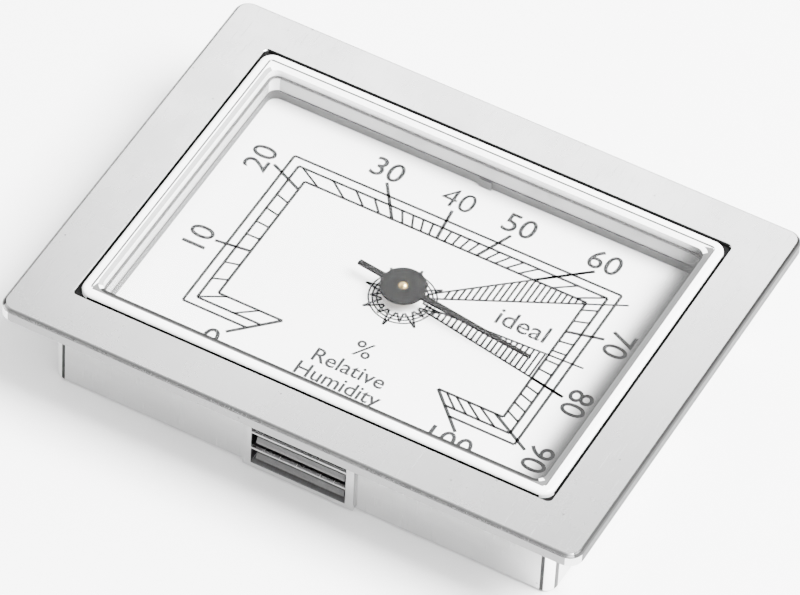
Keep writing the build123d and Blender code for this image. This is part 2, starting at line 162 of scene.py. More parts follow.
class Finish(Network):
    """A material whose patterns follow the object's own coordinates, in metres."""

    def __init__(self, name):
        self.material = bpy.data.materials.new(name)
        self.material.use_nodes = True
        super().__init__(self.material.node_tree)
        self.tree.nodes.clear()
        self.place = self.node("ShaderNodeTexCoord", output="Object")

    def stretched(self, scale, turn=(0, 0, 0)):
        return self.node(
            "ShaderNodeMapping", {}, {"Vector": self.place, "Scale": scale, "Rotation": turn}
        )

    def noise(self, scale, detail=2.0, where=None):
        inputs = {"Vector": where or self.place, "Scale": scale, "Detail": detail}
        return self.node("ShaderNodeTexNoise", {}, inputs, "Fac")

    def ramp(self, factor, *stops):
        return self.node("ShaderNodeValToRGB", {"stops": stops}, {"Fac": factor})

    def blend(self, factor, first, second):
        settings = {"data_type": "RGBA"}
        names = {0: factor, 6: first, 7: second}
        return self.node("ShaderNodeMix", settings, names, 2)

    def bump(self, height, distance, strength=1.0):
        inputs = {"Height": height, "Distance": distance, "Strength": strength}
        return self.node("ShaderNodeBump", {}, inputs)

    def surface(self, **inputs):
        """Principled surface: Base_Color=... is the socket Base Color."""
        named = {key.replace("_", " "): given for key, given in inputs.items()}
        return self.node("ShaderNodeBsdfPrincipled", {}, named)

    def done(self, shader):
        output = self.tree.nodes.new("ShaderNodeOutputMaterial")
        self.tree.links.new(shader.socket, output.inputs["Surface"])
        return self.material


def grey(level, warmth=0.0):
    """A near-neutral colour; warmth above 0 leans it towards yellow, below 0 towards blue."""
    return (level * (1 + warmth), level, level * (1 - warmth), 1)

# %% [markdown]
# ## Plated metal
# The bezel and the case are bright plating over a casting. A perfect mirror would look fake:
# real plating has a faint haze, handling smudges, hairline scratches and a few tiny pits. Each
# is one pattern at its own scale, in the colour, the roughness or the bump. The darker and
# brighter versions are painted reflections: lit and shaded copies of the same plating, laid on
# narrow faces and round corners as painted shade and painted highlights.

# %% Chrome finishes
# Painted shade: between these heights a wall's plating is darkened towards the top of the case.
painted_dim_start, painted_dim_end = 3 * MM, 9 * MM     # heights between which a wall gets darker


def chrome(name, level, roughness, smudge, painted_dimming=1.0):
    """Plating of one lightness; the last argument, below 1, paints a shade that darkens it towards the
    top of the case.
    """
    metal = Finish(name)
    smudges = metal.noise(95, 3)
    haze = metal.noise(900, 4)
    hairlines = metal.ramp(
        metal.noise(1.0, 1, metal.stretched((9000, 260, 260), (0, 0, 0.5))),
        (0.66, 0), (0.72, 1),
    )
    cell_distance = metal.node(
        "ShaderNodeTexVoronoi", {}, {"Vector": metal.place, "Scale": 420}, "Distance"
    )
    pits = metal.ramp(cell_distance, (0.035, 1), (0.06, 0))
    shade = metal.blend(
        metal.ramp(smudges, (0.35, 0), (0.7, 1)), grey(level), grey(level * 0.93)
    )
    if painted_dimming < 1:
        height = metal.node("ShaderNodeSeparateXYZ", {}, {"Vector": metal.place}, "Z")
        span = {"Value": height, "From Min": painted_dim_start, "From Max": painted_dim_end}
        shade = metal.blend(metal.node("ShaderNodeMapRange", {}, span), shade, grey(level * painted_dimming))
    return metal.done(metal.surface(
        Base_Color=metal.blend(pits, shade, grey(level * 0.55)),
        Metallic=1.0,
        Roughness=roughness + smudges * smudge + haze * 0.04 + hairlines * 0.08,
        Normal=metal.bump(haze * 0.4 + hairlines * 0.5 - pits, 4e-6, 0.5),
    ))


bezel_chrome = chrome("bezel_chrome", 0.62, 0.20, 0.10)
# The case's plating paints a shade that darkens its walls towards the top.
case_chrome = chrome("case_chrome", 0.62, 0.16, 0.08, painted_dimming=0.28)
# Painted reflections: a bright copy of the plating for painted highlights on the case's corners, and
# dark copies for painted shade on narrow faces.
corner_chrome = chrome("corner_chrome", 0.95, 0.25, 0.05)
side_chrome = chrome("side_chrome", 0.15, 0.22, 0.08)
edge_chrome = chrome("edge_chrome", 0.025, 0.25, 0.08)
front_edge_chrome = chrome("front_edge_chrome", 0.30, 0.25, 0.08)

# %% [markdown]
# ## Plastics, card and ink
# The crystal's flat pane is clear: it lets the view straight through and adds only a reflection
# that grows at grazing angles. Towards its right edge it carries a painted shade. Its rim
# and skirt stand in for clear plastic that looks white, so they have a bright opaque finish. Card
# has a fine tooth, and ink lies on it unevenly.

# %% Crystal, plastics, card, ink
pane_shade_start, pane_shade_end, pane_shade_most = 21.2 * MM, 24.6 * MM, 0.9


def clear_pane():
    pane = Finish("crystal_clear")
    wipe_marks = pane.noise(160, 3, pane.stretched((1, 3, 1), (0, 0, 0.6)))
    gloss = pane.surface(Base_Color=grey(0.95), Metallic=1.0, Roughness=0.03 + wipe_marks * 0.05)
    see_through = pane.node("ShaderNodeBsdfTransparent", {}, {"Color": grey(0.985)})
    grazing = pane.node("ShaderNodeLayerWeight", {}, {"Blend": 0.5}, "Facing")
    mirror_share = 0.002 + grazing.maths("POWER", 5) * 0.6
    film = pane.ramp(wipe_marks, (0.4, 0), (0.75, 0.002))
    across = pane.node("ShaderNodeSeparateXYZ", {}, {"Vector": pane.place}, "X")
    near_right = pane.node(
        "ShaderNodeMapRange", {"interpolation_type": "SMOOTHSTEP"},
        {"Value": across, "From Min": pane_shade_start, "From Max": pane_shade_end,
         "To Max": pane_shade_most},
    )
    # A painted shade laid over the pane towards its right edge.
    edge_shade = pane.surface(Base_Color=grey(0.02), Roughness=0.5, Specular_IOR_Level=0.1)
    right_edge_shaded = pane.node("ShaderNodeMixShader", {}, {0: near_right, 1: see_through, 2: edge_shade})
    return pane.done(pane.node(
        "ShaderNodeMixShader", {}, {0: mirror_share + film, 1: right_edge_shaded, 2: gloss}
    ))


def moulded(name, level, roughness, warmth=0.0, grain=900, depth=3e-6):
    plastic = Finish(name)
    clouds = plastic.noise(120, 2)
    skin_grain = plastic.noise(grain, 3)
    return plastic.done(plastic.surface(
        Base_Color=plastic.blend(clouds, grey(level * 0.97, warmth), grey(level, warmth)),
        Roughness=roughness + skin_grain * 0.12,
        Normal=plastic.bump(skin_grain, depth, 0.6),
    ))


def printed_card():
    card = Finish("dial_print")
    fibres = card.noise(1.0, 4, card.stretched((5200, 2600, 2600), (0, 0, 0.3)))
    return card.done(card.surface(
        Base_Color=card.blend(fibres, grey(0.86), grey(0.90)),
        Roughness=0.62 + fibres * 0.2,
        Normal=card.bump(fibres, 6e-6, 0.5),
    ))


def printing_ink():
    ink = Finish("dial_ink")
    mottle = ink.noise(6000, 3)
    return ink.done(ink.surface(
        Base_Color=ink.blend(mottle, grey(0.016), grey(0.028, -0.03)),
        Roughness=0.5 + mottle * 0.2,
        Specular_IOR_Level=0.08,
        Normal=ink.bump(mottle, 4e-6, 0.5),
    ))


crystal_clear = clear_pane()
crystal_white = moulded("crystal_rim_white", 0.96, 0.10)
# Painted shade: greys for the skirt's inner wall, the grooves and lips, and the slope to the pane.
skirt_painted_shade = moulded("crystal_skirt_grey", 0.38, 0.12)
lip_painted_shade = moulded("crystal_lip_grey", 0.05, 0.20)
slope_painted_soft_shade = moulded("crystal_slope_soft", 0.28, 0.2)
# The surround's dark grey is painted shade, far darker than its own pale plastic.
surround_plastic = moulded("surround_plastic", 0.065, 0.45)
dial_print = printed_card()
dial_ink = printing_ink()

# %% [markdown]
# ## Metals and paint of the movement
# Turned brass has fine rings about its axis, rolled sheet has straight brushing, and the coil is
# bronze with a dull film. One recipe serves them all: a stretched noise for the tool marks.

# %% Movement finishes
def worked_metal(name, colour, roughness, stretch, marks=0.18, depth=2e-6):
    metal = Finish(name)
    tool_marks = metal.noise(1.0, 3, metal.stretched(stretch))
    tarnish = metal.noise(260, 3)
    dull = tuple(channel * 0.72 for channel in colour[:3]) + (1,)
    return metal.done(metal.surface(
        Base_Color=metal.blend(metal.ramp(tarnish, (0.4, 0), (0.75, 1)), colour, dull),
        Metallic=1.0,
        Roughness=roughness + tool_marks * marks,
        Normal=metal.bump(tool_marks, depth, 0.5),
    ))


brass = (0.83, 0.60, 0.27, 1)
brass_turned = worked_metal("brass_turned", brass, 0.16, (900, 900, 14000))
brass_sheet = worked_metal("brass_sheet", (0.78, 0.57, 0.28, 1), 0.26, (600, 9000, 9000))
plate_steel = worked_metal("plate_steel", grey(0.60, -0.01), 0.30, (500, 9000, 9000))
screw_steel = worked_metal("screw_steel", grey(0.62), 0.22, (4000, 4000, 9000))
spring_steel = worked_metal("spring_steel", grey(0.58, -0.02), 0.2, (2500, 2500, 9000))
coil_strip = worked_metal("coil_strip", (0.62, 0.38, 0.20, 1), 0.34, (1800, 1800, 16000), 0.25)


def paint(name, level, roughness, gloss=0.5, grain=5200, depth=4e-6):
    coat = Finish(name)
    orange_peel = coat.noise(grain, 3)
    wear = coat.ramp(coat.noise(700, 4), (0.62, 0), (0.8, 1))
    return coat.done(coat.surface(
        Base_Color=coat.blend(wear, grey(level), grey(level * 1.25)),
        Roughness=roughness + orange_peel * 0.15,
        Specular_IOR_Level=gloss,
        Normal=coat.bump(orange_peel, depth, 0.6),
    ))


pointer_paint = paint("pointer_paint", 0.0125, 0.6, 0.01)
cover_black = paint("cover_black", 0.022, 0.45, 0.4, 2600, 2e-5)
# The bead's own black, which also paints shade on the walls of the gap round the crystal.
seal_black = paint("seal_black", 0.004, 0.7, 0.05)
# Painted shade: dark greys laid on faces in place of polished plating or a white rim, so that they read
# darker.
dull_plating = paint("dull_plating", 0.035, 0.35, 0.15, 900, 2e-6)
louvre_grey = paint("louvre_grey", 0.11, 0.35, 0.3, 2600, 8e-6)
slope_painted_dark_shade = paint("crystal_slope_dark", 0.014, 0.4, 0.1, 900, 2e-6)
slope_painted_shade = paint("crystal_slope_grey", 0.09, 0.4, 0.1, 900, 2e-6)
index_white = paint("index_white", 0.80, 0.5)

# %% [markdown]
# ## Studio
# A pale floor, a bright surround that is dimmer in two directions, and two soft lamps. Plating
# shows what it reflects, so one lamp is hung where the bezel mirrors it towards the camera.

# %% Floor and lamps
floor_level = -0.02 * MM


def floor():
    reach = 1.5
    mesh = bpy.data.meshes.new("floor")
    corners = [(-reach, -reach), (reach, -reach), (reach, reach), (-reach, reach)]
    mesh.from_pydata([(x, y, floor_level) for x, y in corners], [], [(0, 1, 2, 3)])
    plane = new_object("floor", mesh)
    paper = Finish("floor_paper")
    tooth = paper.noise(400, 3)
    mesh.materials.append(paper.done(paper.surface(
        Base_Color=grey(0.93), Roughness=0.85, Normal=paper.bump(tooth, 2e-5, 0.2)
    )))
    plane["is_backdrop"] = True


def lamp(name, place, target, size, watts):
    data = bpy.data.lights.new(name, "AREA")
    data.shape = "RECTANGLE"
    data.size, data.size_y = size
    data.energy = watts
    light = new_object(name, data)
    outward = Vector(place) - Vector(target)
    light.matrix_world = Matrix.Translation(place) @ outward.to_track_quat("Z", "Y").to_matrix().to_4x4()


mirror_way = Vector((-towards_camera.x, -towards_camera.y, towards_camera.z))
front_way = Vector((-0.30, -0.74, 0.60))


def surround_light(bright):
    """A white surround that fades to the horizon, and is dimmer in two directions that the
    plating mirrors: behind the instrument and in front of it."""
    world = bpy.data.worlds.new("studio")
    world.use_nodes = True
    sky = Network(world.node_tree)
    sky.tree.nodes.clear()
    heading = sky.node("ShaderNodeTexCoord", output="Generated")

    def fade(direction, start, end, least):
        """1 far from the direction and least close to it, with a soft step between."""
        along = sky.node(
            "ShaderNodeVectorMath", {"operation": "DOT_PRODUCT"},
            {0: heading, 1: direction.normalized()}, "Value",
        )
        return sky.node(
            "ShaderNodeMapRange", {"interpolation_type": "SMOOTHSTEP"},
            {"Value": along, "From Min": start, "From Max": end, "To Min": least, "To Max": 1.0},
        )

    strength = (
        fade(Vector((0, 0, 1)), 0.05, 0.75, 0.15)
        * fade(mirror_way, 0.95, 0.55, 0.22) * fade(front_way, 0.95, 0.65, 0.08) * bright
    )
    light = sky.node("ShaderNodeBackground", {}, {"Strength": strength})
    sky.tree.links.new(light.socket, sky.tree.nodes.new("ShaderNodeOutputWorld").inputs["Surface"])
    bpy.context.scene.world = world


bezel_back = Vector((8, 30, 11.5)) * MM
floor()
surround_light(6.8)
lamp("right_softbox", (0.38, 0.10, 0.60), (0, 0, 0), (0.4, 0.4), 42)
lamp("mirror_card", bezel_back + mirror_way * 0.20, bezel_back, (0.12, 0.05), 0.15)

# %% [markdown]
# ## Helpers for shaping
# The long parts of this instrument are rings: one rounded rectangle after another, skinned into
# a closed band. The small turned and stamped parts already have the right shape in the frame, so
# they are copied, and their knife-sharp edges are broken with a fine bevel that catches light.

# %% Shaping helpers
def baked(piece, name):
    """The piece with its modifiers worked into a plain mesh."""
    bpy.context.view_layer.update()
    graph = bpy.context.evaluated_depsgraph_get()
    mesh = bpy.data.meshes.new_from_object(piece.evaluated_get(graph))
    bpy.data.objects.remove(piece)
    plain = new_object(name, mesh)
    mesh.name = name
    return plain


def smooth(mesh, degrees=32):
    for face in mesh.polygons:
        face.use_smooth = True
    mesh.set_sharp_from_angle(angle=radians(degrees))


def from_bmesh(name, shape):
    """Closes off a bmesh: outward faces, smooth shading, one object."""
    bmesh.ops.recalc_face_normals(shape, faces=shape.faces)
    mesh = bpy.data.meshes.new(name)
    shape.to_mesh(mesh)
    shape.free()
    smooth(mesh)
    return new_object(name, mesh)


def rounded_rectangle(half_x, half_y, radius, height, steps=8):
    """Points of a rounded rectangle, counterclockwise seen from above."""
    points = []
    for quarter, (side_x, side_y) in enumerate(((1, 1), (-1, 1), (-1, -1), (1, -1))):
        for step in range(steps + 1):
            angle = radians(90) * (quarter + step / steps)
            points.append(Vector((
                side_x * (half_x - radius) + radius * cos(angle),
                side_y * (half_y - radius) + radius * sin(angle),
                height,
            )))
    return points


def skin(name, loops, ring=True):
    """Skins loops of equal length; a ring closes on itself, anything else gets two end caps."""
    shape = bmesh.new()
    rows = [[shape.verts.new(point) for point in loop] for loop in loops]
    pairs = list(zip(rows, rows[1:] + rows[:1])) if ring else list(zip(rows, rows[1:]))
    for lower, upper in pairs:
        for i in range(len(lower)):
            j = (i + 1) % len(lower)
            shape.faces.new((lower[i], lower[j], upper[j], upper[i]))
    if not ring:
        shape.faces.new(rows[0])
        shape.faces.new(rows[-1])
    return from_bmesh(name, shape)


def softened(node, name, width=0.05 * MM, steps=2):
    """A copy of a frame part with its edges broken by a small round, or left sharp at width 0."""
    copy = new_object(name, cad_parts[node].data.copy())
    copy.data.materials.clear()
    shape = bmesh.new()
    shape.from_mesh(copy.data)
    bmesh.ops.remove_doubles(shape, verts=shape.verts, dist=1e-6)
    bmesh.ops.dissolve_limit(
        shape, angle_limit=radians(1), verts=shape.verts, edges=shape.edges, delimit={"NORMAL"}
    )
    shape.to_mesh(copy.data)
    shape.free()
    smooth(copy.data)
    if not width:
        return baked(copy, name)
    bevel = copy.modifiers.new("broken edge", "BEVEL")
    bevel.width, bevel.segments = width, steps
    bevel.limit_method, bevel.angle_limit = "ANGLE", radians(35)
    bevel.harden_normals = True
    return baked(copy, name)


def dress(piece, finish, body, slot, *nodes):
    """Gives a piece its finish, its body and the frame parts that it stands for."""
    piece.data.materials.clear()
    piece.data.materials.append(finish)
    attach(piece, body)
    if nodes:
        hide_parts(*nodes)


def coat_where(piece, finish, test):
    """Gives a second finish to the faces whose middle passes the test."""
    piece.data.materials.append(finish)
    index = len(piece.data.materials) - 1
    for face in piece.data.polygons:
        if test(face.center):
            face.material_index = index


def joined(name, pieces):
    """Several pieces as one object, each keeping its closed shape."""
    shape = bmesh.new()
    for piece in pieces:
        shape.from_mesh(piece.data)
        bpy.data.objects.remove(piece)
    mesh = bpy.data.meshes.new(name)
    shape.to_mesh(mesh)
    shape.free()
    smooth(mesh)
    return new_object(name, mesh)

# %% [markdown]
# ## Geometry Nodes trees
# Three small trees make everything that repeats. One copies a shape in a row, one copies it in a
# ring, and one turns loose edges into flat printed strokes. Each ends by realizing its copies,
# so that the result is an ordinary mesh.

# %% Repeat and stroke trees
class Tree(Network):
    """A Geometry Nodes tree with named number inputs."""

    def __init__(self, name, **inputs):
        tree = bpy.data.node_groups.new(name, "GeometryNodeTree")
        super().__init__(tree)
        tree.interface.new_socket("Geometry", in_out="INPUT", socket_type="NodeSocketGeometry")
        tree.interface.new_socket("Geometry", in_out="OUTPUT", socket_type="NodeSocketGeometry")
        self.identifiers = {}
        for key, kind in inputs.items():
            socket = tree.interface.new_socket(
                key, in_out="INPUT", socket_type="NodeSocket" + kind
            )
            self.identifiers[key] = socket.identifier
        self.entry = tree.nodes.new("NodeGroupInput")
        self.geometry = Value(self, self.entry.outputs["Geometry"])

    def given(self, key):
        return Value(self, self.entry.outputs[key])

    def close(self, geometry):
        real = self.node("GeometryNodeRealizeInstances", {}, {0: geometry})
        coated = self.node(
            "GeometryNodeSetMaterial", {}, {"Geometry": real, "Material": self.given("Material")}
        )
        self.tree.links.new(coated.socket, self.tree.nodes.new("NodeGroupOutput").inputs[0])
        return self

    def grow(self, piece, name, **values):
        """Runs the tree on a piece and bakes the result."""
        modifier = piece.modifiers.new(self.tree.name, "NODES")
        modifier.node_group = self.tree
        for key, given in values.items():
            modifier[self.identifiers[key]] = given
        return baked(piece, name)


def row_tree():
    tree = Tree("row of copies", Count="Int", Step="Vector", Material="Material")
    line = tree.node(
        "GeometryNodeMeshLine", {"mode": "OFFSET"},
        {"Count": tree.given("Count"), "Offset": tree.given("Step")},
    )
    return tree.close(tree.node(
        "GeometryNodeInstanceOnPoints", {}, {"Points": line, "Instance": tree.geometry}
    ))


def ring_tree():
    tree = Tree("ring of copies", Count="Int", Material="Material")
    count = tree.given("Count")
    points = tree.node("GeometryNodePoints", {}, {"Count": count})
    index = tree.node("GeometryNodeInputIndex")
    turn = (index * (2 * pi)).maths("DIVIDE", count)
    rotation = tree.node("ShaderNodeCombineXYZ", {}, {"Z": turn})
    return tree.close(tree.node(
        "GeometryNodeInstanceOnPoints", {},
        {"Points": points, "Instance": tree.geometry, "Rotation": rotation},
    ))


def stroke_tree():
    tree = Tree("printed strokes", Width="Float", Thickness="Float", Material="Material")
    path = tree.node("GeometryNodeMeshToCurve", {}, {"Mesh": tree.geometry})
    level_path = tree.node("GeometryNodeSetCurveNormal", {"mode": "Z_UP"}, {"Curve": path})
    section = tree.node(
        "GeometryNodeCurvePrimitiveQuadrilateral", {},
        {"Width": tree.given("Width"), "Height": tree.given("Thickness")},
    )
    return tree.close(tree.node(
        "GeometryNodeCurveToMesh", {},
        {"Curve": level_path, "Profile Curve": section, "Fill Caps": True},
    ))


row_of_copies, ring_of_copies, printed_strokes = row_tree(), ring_tree(), stroke_tree()

# %% [markdown]
# ## The bezel
# One flat frame that overlaps the panel it is fitted in. Its section is drawn once, as a list of
# steps inwards and heights, and swept round the outline. Its top edge has a narrow bevel, and
# the window's edge is rounded more at the back and on the left. Its narrow faces and bevel have
# darker finishes, painted shade and painted reflections, and its window's walls painted shade.

# %% Bezel
bezel_low, bezel_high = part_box("bezel_frame")
case_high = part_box("case_box")[1]
bezel_bevel = 0.30 * MM
bevel_blend = 0.2 * bezel_bevel
bezel_corner = 1.5 * MM
case_corner = 1.3 * MM
window_half = Vector((25.6, 18.65)) * MM
window_corner = 0.5 * MM
window_round = 0.18 * MM
holding_gap = 0.02 * MM       # keeps a flat face flat up to the start of its rounded edge


def quarter_round(radius, steps):
    """Steps inwards and down for a rounded outer edge, from the side face to the top face."""
    turns = [radians(90) * i / steps for i in range(steps + 1)]
    return [(radius * (1 - cos(turn)), radius * (sin(turn) - 1)) for turn in turns]


def bezel():
    half = Vector((bezel_high.x, bezel_high.y))
    top, under = bezel_high.z, bezel_low.z

    def outer(inwards, height):
        corner = max(bezel_corner - inwards, 0.05 * MM)
        return rounded_rectangle(half.x - inwards, half.y - inwards, corner, height)

    def inner(outwards, height):
        """The window's outline; its rounded edge is broader at the back and on the left."""
        grown, shift = 0.6 * outwards, Vector((-0.4, 0.4, 0)) * outwards
        loop = rounded_rectangle(
            window_half.x + grown, window_half.y + grown, window_corner + grown, height
        )
        return [point + shift for point in loop]

    fine = 0.08 * MM
    loops = [outer(fine, under), outer(0, under + fine)]
    whole = bezel_bevel + bevel_blend
    bevel_steps = [
        (0, whole), (0.3 * bevel_blend, bezel_bevel), (0.5 * bezel_bevel, 0.5 * bezel_bevel),
        (bezel_bevel, 0.3 * bevel_blend), (whole, 0),
    ]
    loops.append(outer(0, top - whole - holding_gap))
    loops += [outer(inwards, top - drop) for inwards, drop in bevel_steps]
    loops.append(outer(whole + holding_gap, top))
    loops.append(inner(window_round + holding_gap, top))
    loops += [
        inner(outwards, top + drop)
        for outwards, drop in reversed(quarter_round(window_round, 6))
    ]
    loops.append(inner(0, case_high.z))
    seat = rounded_rectangle(case_high.x, case_high.y, case_corner, case_high.z)
    loops += [seat, [Vector((p.x, p.y, under)) for p in seat]]
    return skin("bezel", loops)


edge_reach = 0.6 * MM         # how far in from the outline a face still counts as its edge
face_slack = 0.03 * MM        # how far off a wall's plane a face still counts as on it


def in_slot(point, half, slack=face_slack):
    """Whether a point lies on a wall of the slot between the crystal and the bezel."""
    edge = max(abs(point.x) - half.x, abs(point.y) - half.y)
    return abs(edge) < slack


def in_window_edge(point):
    """The window's walls, and its broad rounded edge at the back."""
    below_top = bezel_high.z - point.z
    if point.y - window_half.y > -face_slack:
        return in_slot(point, window_half, 0.25 * MM) and below_top > 0.01 * MM
    return in_slot(point, window_half) and below_top > window_round


def corner_turn(point, high, radius):
    """How far round a vertical corner a point lies: 0 at the long side, 90 at the short side."""
    past = Vector((abs(point.x) - high.x + radius, abs(point.y) - high.y + radius))
    if past.x < 1e-5:
        return 0.0
    return 90.0 if past.y < 1e-5 else degrees(atan2(past.x, past.y))


def on_outer_side(point):
    return min(bezel_high.x - abs(point.x), bezel_high.y - abs(point.y)) < edge_reach


def on_bevel(point, shallow, deep):
    """The bevel round the top face, between two depths in mm."""
    return on_outer_side(point) and deep * MM > bezel_high.z - point.z > shallow * MM


def on_bezel_side(point, least, most):
    """The outer wall, over a range of turns round its corners."""
    turn = corner_turn(point, bezel_high, bezel_corner)
    below_bevel = bezel_high.z - point.z > bezel_bevel + bevel_blend
    return on_outer_side(point) and below_bevel and least <= turn <= most


def at_end(point):
    """Whether a point is at one of the bezel's two short ends."""
    return abs(point.x) > bezel_high.x - edge_reach


frame_piece = bezel()
dress(frame_piece, bezel_chrome, "case", "bezel_chrome", "bezel_frame")
# Painted shade: the window's walls are blackened along the gap round the crystal.
coat_where(frame_piece, seal_black, in_window_edge)
# Painted reflections: darker copies of the plating on the bezel's sides and in bands on its bevel.
coat_where(frame_piece, side_chrome, lambda p: on_bezel_side(p, 0, 10))
coat_where(frame_piece, dull_plating, lambda p: on_bezel_side(p, 75, 90))
upper, lower, foot_line = (0.005, 0.14), (0.14, 0.36), (0.3, 0.36)    # depths on the bevel, in mm
for finish, depths, ends in (
    (front_edge_chrome, upper, False), (edge_chrome, upper, True),
    (dull_plating, lower, True), (edge_chrome, foot_line, False),
):
    coat_where(frame_piece, finish, lambda p: on_bevel(p, *depths) and at_end(p) == ends)
print("bezel:", [round(side / MM, 2) for side in bezel_high - bezel_low], "mm")

# %% [markdown]
# ## The case
# A shallow box with a small foot radius. The frame's own shape is right, so a softened copy is
# enough: its vertical corners are round and its rim disappears under the bezel. Painted
# reflections run down the corners as dark and bright strips, the short ends carry painted shade,
# and a painted shade makes the walls darker towards the top.

# %% Case
def on_case_side(point, least, most):
    """The outer wall of the case, over a range of turns round its corners."""
    turn = corner_turn(point, case_high, case_corner)
    outside = min(case_high.x - abs(point.x), case_high.y - abs(point.y)) < 0.5 * MM
    return outside and least <= turn <= most


case = softened("case_box", "case_shell", 0.12 * MM, 3)
dress(case, case_chrome, "case", "case_chrome", "case_box")
# Painted reflections down the case's corners: a dark line, a bright strip, and painted shade on the
# ends.
coat_where(case, edge_chrome, lambda p: on_case_side(p, 0.5, 16))
coat_where(case, corner_chrome, lambda p: on_case_side(p, 16, 64))
coat_where(case, dull_plating, lambda p: on_case_side(p, 64, 89.5))

# %% [markdown]
# ## Vents
# Each wall has a raised block with four slots. A louvre in each slot slopes outwards and down, so
# that air gets in and dust doesn't. The block is one skinned ring. The row tree repeats the
# louvres and the bars between the slots up the block.

# %% Vent blocks
slot_count = 4
slot_pitch = 2.2 * MM
slot_width = 10.2 * MM
bar_height = 0.3 * MM
slot_base = 0.75 * MM
block_proud = 0.45 * MM
plug_depth = 1.15 * MM
louvre_front = 0.45 * MM      # louvre's outer edge behind the block's face
bar_depth = 0.35 * MM
slot_height = slot_pitch - bar_height


def block_loop(half_x, low, high, radius, depth):
    """A rounded rectangle in the wall's own plane: x along the wall, y up, z outwards."""
    middle, half_y = (low + high) / 2, (high - low) / 2
    points = rounded_rectangle(half_x, half_y, radius, depth, 3)
    return [point + Vector((0, middle, 0)) for point in points]


def vent_frame(half_width, low, high):
    """The raised block and its plug, open where the slots are."""
    edge = 0.09 * MM
    slot_top = slot_base + slot_count * slot_pitch - bar_height
    rim = 0.28 * MM
    body, opening = (half_width, low, high), (slot_width / 2, slot_base, slot_top)
    slot_edge = 0.04 * MM
    section = (
        (body, 0, edge, 0), (body, 0, edge, block_proud - edge),
        (body, -0.3 * edge, edge, block_proud - 0.3 * edge), (body, -edge, edge, block_proud),
        (opening, slot_edge, edge / 2, block_proud), (opening, 0, edge / 2, block_proud - slot_edge),
        (opening, 0, edge / 2, -plug_depth), (opening, rim, edge, -plug_depth),
        (opening, rim, edge, 0),
    )
    return skin("vent_frame", [
        block_loop(half_x + grown, bottom - grown, top + grown, radius, depth)
        for (half_x, bottom, top), grown, radius, depth in section
    ])


def extruded(name, outline, half_width):
    """A straight bar along x from an outline of (y, z) points."""
    ends = [[(side * half_width, y, z) for y, z in outline] for side in (-1, 1)]
    return skin(name, ends, ring=False)


def louvre():
    """A steep slat behind the slot, lower at its outer edge, with fine ridges on its face."""
    foot, thickness = slot_base + 0.25 * MM, 0.2 * MM
    face_back = block_proud - louvre_front
    start = Vector((foot + thickness, face_back))
    along = Vector((slot_base + 0.95 * MM, face_back - 0.2 * MM)) - start
    raised = Vector((-along.y, along.x)).normalized() * 0.04 * MM
    ridges = 3
    outline = [start + along - Vector((0, 0.25 * MM)), Vector((foot, face_back - 0.25 * MM)),
               Vector((foot, face_back)), start]
    for ridge in range(ridges):
        near = start + along * ((ridge + 0.3) / ridges)
        far = start + along * ((ridge + 0.95) / ridges)
        outline += [near, near + raised, far + raised, far]
    outline.append(start + along)
    return extruded("louvre", outline, slot_width / 2 - 0.35 * MM)


def slot_bar():
    """The bar between two slots, with its front edges broken."""
    low, high = slot_base + slot_height, slot_base + slot_pitch
    front, edge = block_proud - 0.02 * MM, 0.06 * MM
    outline = [
        (low, front - bar_depth), (low, front - edge), (low + edge, front),
        (high - edge, front), (high, front - edge), (high, front - bar_depth),
    ]
    return extruded("slot_bar", outline, slot_width / 2 + 0.02 * MM)


wall_facing = {
    "front": Vector((0, -1, 0)), "back": Vector((0, 1, 0)),
    "right": Vector((1, 0, 0)), "left": Vector((-1, 0, 0)),
}


def wall_matrix(side, low, high):
    """Takes the vent from its own plane to its wall: x along, y up, z outwards."""
    out = wall_facing[side]
    up = Vector((0, 0, 1))
    along = up.cross(out)
    middle = (low + high) / 2
    face = Vector((case_high.x * out.x, case_high.y * out.y, 0))
    origin = face + Vector((middle.x * abs(out.y), middle.y * abs(out.x), 0))
    turn = Matrix((along, up, out)).transposed()
    return Matrix.Translation(origin) @ turn.to_4x4()


def vent(side):
    low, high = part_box("vent_grille_" + side)
    half_width = max(high.x - low.x, high.y - low.y) / 2
    step = (0, slot_pitch, 0)
    louvres = row_of_copies.grow(
        louvre(), "louvres", Count=slot_count, Step=step, Material=case_chrome
    )
    bars = row_of_copies.grow(
        slot_bar(), "bars", Count=slot_count - 1, Step=step, Material=case_chrome
    )
    piece = joined("vent_" + side, [vent_frame(half_width, low.z, high.z), louvres, bars])
    to_wall = wall_matrix(side, low, high)
    from_wall = to_wall.inverted()
    piece.data.transform(to_wall)
    dress(piece, case_chrome, "case", "case_chrome", "vent_grille_" + side)

    def behind_bars(point):
        flat = from_wall @ point
        return flat.z < 0.06 * MM and abs(flat.x) < slot_width / 2 - 0.2 * MM

    # Painted shade: the louvres behind the bars are laid in dark grey instead of plating.
    coat_where(piece, louvre_grey, behind_bars)


for side in wall_facing:
    vent(side)
print("vents:", slot_count, "slots each")

# %% [markdown]
# ## The crystal and the surround
# The crystal is one clear moulding: a pane with a skirt that stands on the surround. Clear
# plastic that is seen end-on looks white, so the skirt and its rim are one bright ring, and the
# pane is a separate clear slab inside it. Fine grooves mark where pane, skirt and surround meet.
# The slope from the rim to the pane has grey strips of painted shade on three sides. The
# grooves, the lips, the skirt's inner wall and the gap round the crystal carry painted shade too.

# %% Crystal and surround
crystal_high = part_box("crystal_window")[1]
surround_low, surround_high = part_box("dial_surround")
crystal_half = window_half - Vector((0.3, 0.3)) * MM
sight_half = crystal_half - Vector((1.55, 1.55)) * MM
crystal_corner = 1.3 * MM
sight_corner = 1.0 * MM
pane_thickness = 1.05 * MM
pane_under = crystal_high.z - pane_thickness
groove = 0.07 * MM


